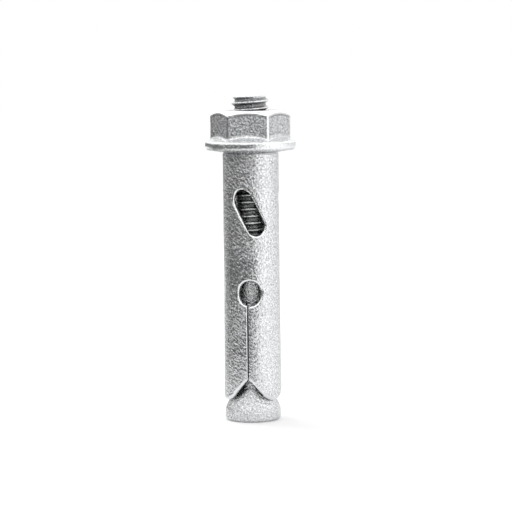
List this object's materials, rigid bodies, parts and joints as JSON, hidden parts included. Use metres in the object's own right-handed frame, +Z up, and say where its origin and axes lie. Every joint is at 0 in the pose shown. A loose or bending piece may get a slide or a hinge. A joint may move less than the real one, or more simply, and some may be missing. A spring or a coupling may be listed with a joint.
{
  "type": "expansion anchor",
  "caption": "Steel sleeve anchor with a cone-ended bolt, slotted expansion sleeve and hexagon flange nut.",
  "frame": {"origin": "centre of the flat end face of the cone end, on which the anchor stands", "axes": "+Z up the bolt from the cone end to the nut, -Y towards the round hole and leaning slot that show in the picture, +X to the right of them"},
  "size_m": [0.0194, 0.0194, 0.0691],
  "materials": {
    "bolt_zinc": "hot-dip galvanised, matt grey, lightly rough",
    "sleeve_zinc": "hot-dip galvanised, bright grey, crinkled and mottled",
    "nut_zinc": "hot-dip galvanised, bright grey, crinkled and mottled"
  },
  "bodies": {
    "bolt": {"bolt": "bolt_zinc"},
    "sleeve": {"sleeve": "sleeve_zinc"},
    "nut": {"flange_nut": "nut_zinc"}
  },
  "joints": [
    {"name": "sleeve_slide", "type": "slide", "parent": "bolt", "child": "sleeve", "axis": [0, 0, 1], "range_m": [0, 0.0105]},
    {"name": "nut_turn", "type": "hinge", "parent": "sleeve", "child": "nut", "pos_m": [0, 0, 0.061], "axis": [0, 0, 1], "range_deg": [0, 2520]}
  ],
  "couplings": [
    {"joint": "nut_turn", "follows": "sleeve_slide", "rad_per_m": 4188.8}
  ]
}
